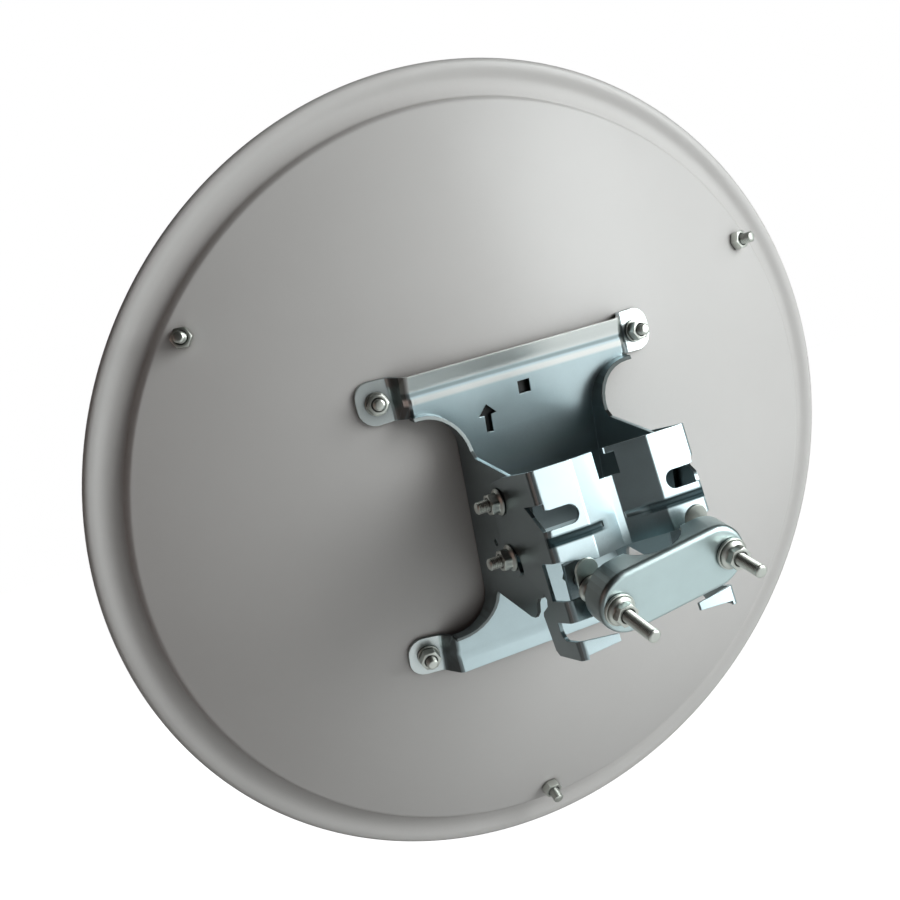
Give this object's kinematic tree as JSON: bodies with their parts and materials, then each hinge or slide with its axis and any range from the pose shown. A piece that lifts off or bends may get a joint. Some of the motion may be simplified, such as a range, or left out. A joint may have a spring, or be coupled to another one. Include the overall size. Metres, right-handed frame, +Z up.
{
  "type": "microwave dish antenna",
  "caption": "Small round microwave dish with a pressed dish bracket, a V-grooved pole bracket that tilts, a loose pole clamp and a feed on rods.",
  "frame": {"origin": "centre of the narrow flat at the bottom of the pole bracket's V groove, on its rear face", "axes": "+Y out of the groove toward the pole, +Z up along the pole, so the dish looks toward -Y and a little up"},
  "size_m": [0.6, 0.5652, 0.5736],
  "materials": {
    "reflector_paint": "semi-gloss grey coat",
    "zinc_sheet": "bright zinc plating on pressed sheet",
    "zinc_hardware": "zinc plating with a faint yellow-green tint",
    "feed_frame": "zinc plating",
    "feed_metal": "cast and turned",
    "feed_plastic": "fine matte",
    "connector_metal": "nickel plating"
  },
  "bodies": {
    "mount": {"pole_bracket": "zinc_sheet", "pivot_bolt_left": "zinc_hardware", "pivot_bolt_right": "zinc_hardware", "pivot_nut_left": "zinc_hardware", "pivot_nut_right": "zinc_hardware", "lock_bolt_left": "zinc_hardware", "lock_bolt_right": "zinc_hardware", "lock_nut_left": "zinc_hardware", "lock_nut_right": "zinc_hardware"},
    "dish": {"reflector": "reflector_paint", "dish_bracket": "zinc_sheet", "bracket_bolt_1": "zinc_hardware", "bracket_bolt_2": "zinc_hardware", "bracket_bolt_3": "zinc_hardware", "bracket_bolt_4": "zinc_hardware", "bracket_washer_1": "zinc_hardware", "bracket_washer_2": "zinc_hardware", "bracket_washer_3": "zinc_hardware", "bracket_washer_4": "zinc_hardware", "bracket_nut_1": "zinc_hardware", "bracket_nut_2": "zinc_hardware", "bracket_nut_3": "zinc_hardware", "bracket_nut_4": "zinc_hardware", "rim_bolt_1": "zinc_hardware", "rim_bolt_2": "zinc_hardware", "rim_bolt_3": "zinc_hardware", "rim_nut_1": "zinc_hardware", "rim_nut_2": "zinc_hardware", "rim_nut_3": "zinc_hardware", "feed_strut_1": "feed_frame", "feed_strut_2": "feed_frame", "feed_strut_3": "feed_frame", "feed_plate": "feed_frame", "feed_horn": "feed_metal", "feed_cap": "feed_plastic", "feed_body": "feed_plastic", "feed_connector": "connector_metal"},
    "clamp_bolts": {"clamp_bolt_left": "zinc_hardware", "clamp_bolt_right": "zinc_hardware", "clamp_saddle_left": "zinc_hardware", "clamp_saddle_right": "zinc_hardware", "clamp_lock_nut_left": "zinc_hardware", "clamp_lock_nut_right": "zinc_hardware", "clamp_back_plate_left": "zinc_sheet", "clamp_back_plate_right": "zinc_sheet"},
    "clamp": {"clamp_plate": "zinc_sheet", "clamp_washer_left": "zinc_hardware", "clamp_washer_right": "zinc_hardware", "clamp_nut_left": "zinc_hardware", "clamp_nut_right": "zinc_hardware"}
  },
  "joints": [
    {"name": "elevation", "type": "hinge", "parent": "mount", "child": "dish", "pos_m": [0, -0.0458, 0.015], "axis": [1, 0, 0], "range_deg": [-20, 17]},
    {"name": "clamp_rock", "type": "hinge", "parent": "mount", "child": "clamp_bolts", "pos_m": [0, 0.01055, -0.0401], "axis": [1, 0, 0], "range_deg": [0, 23.5]},
    {"name": "clamp_slide", "type": "slide", "parent": "clamp_bolts", "child": "clamp", "axis": [0, 0.9171, -0.3987], "range_m": [-0.0015, 0.012]}
  ]
}
